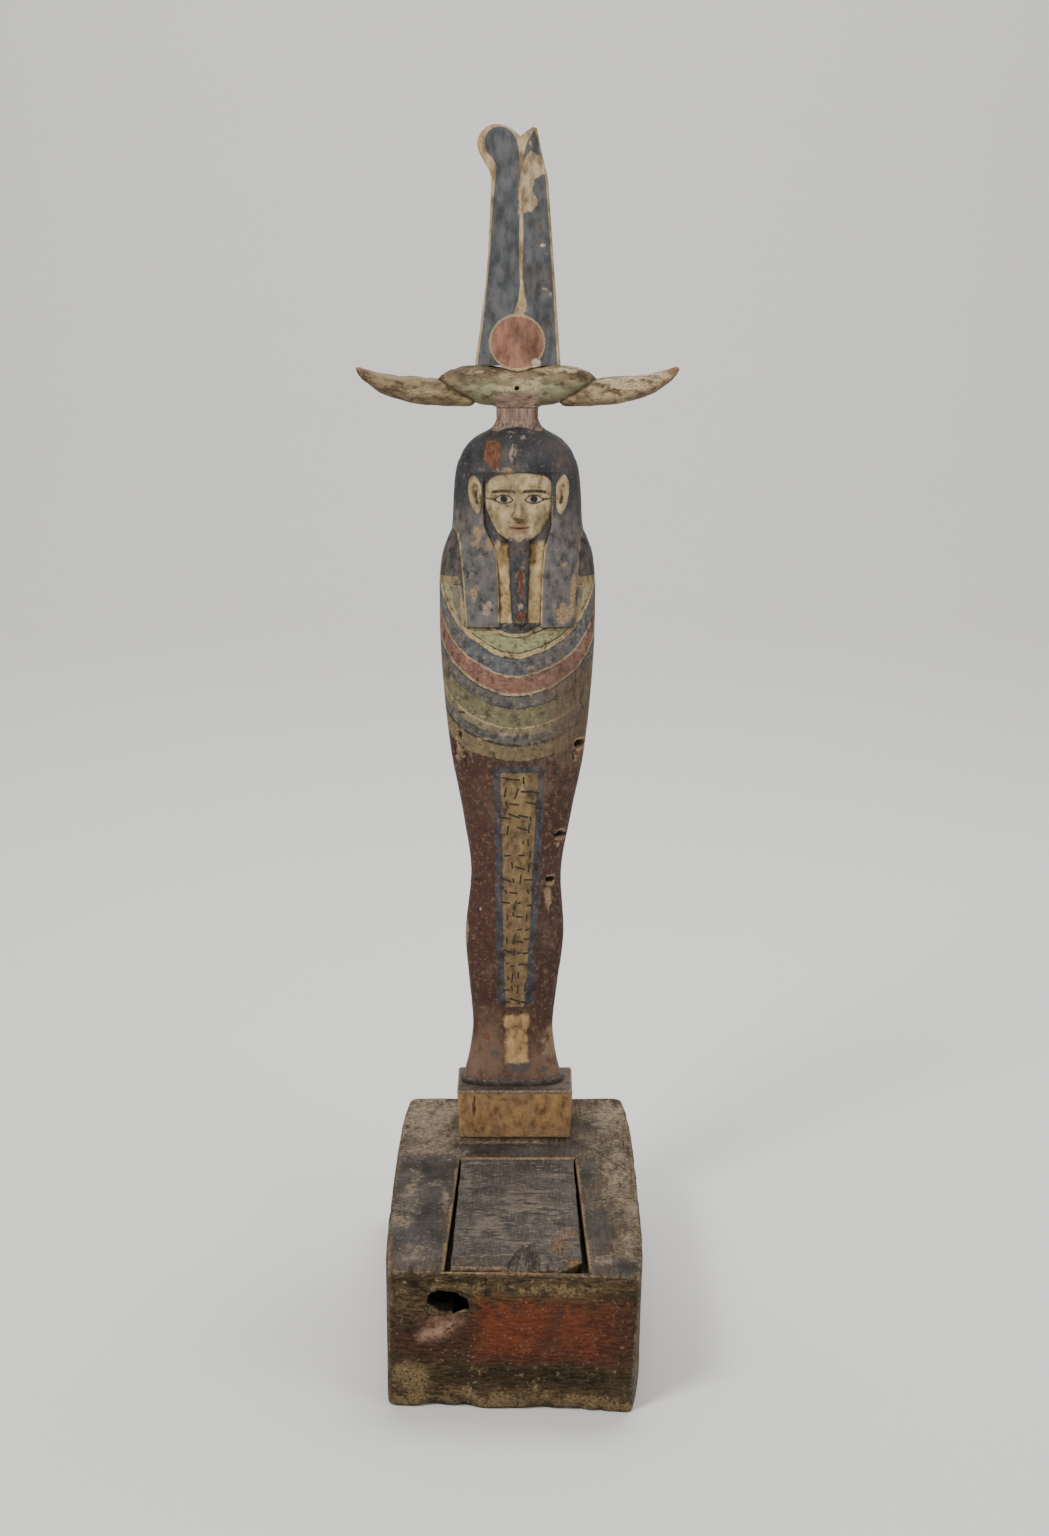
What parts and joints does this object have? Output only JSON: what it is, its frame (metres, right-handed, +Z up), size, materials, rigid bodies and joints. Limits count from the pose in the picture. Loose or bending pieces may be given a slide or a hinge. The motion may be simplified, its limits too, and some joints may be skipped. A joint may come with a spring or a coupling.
{
  "type": "painted wooden mummiform god figure on a plinth",
  "caption": "Standing mummiform wooden figure with ram's-horn and feather crown on a long plinth whose sunk compartment is closed by a loose board.",
  "frame": {"origin": "middle of the plinth's flat underside", "axes": "+Z up, the figure faces -Y along the plinth, +X is to the viewer's right"},
  "size_m": [0.197, 0.357, 0.6995],
  "materials": {
    "base_wood": "worn paint and gesso over old wood",
    "lid_wood": "worn slate paint over old wood",
    "figure_wood": "distemper paint on gesso, worn",
    "horn_wood": "yellow and green paint on gesso, worn",
    "plume_wood": "slate paint on gesso, worn"
  },
  "bodies": {
    "root": {"base": "base_wood", "lid": "lid_wood", "figure": "figure_wood", "ram_horns": "horn_wood", "feather_plate": "plume_wood"}
  },
  "joints": []
}
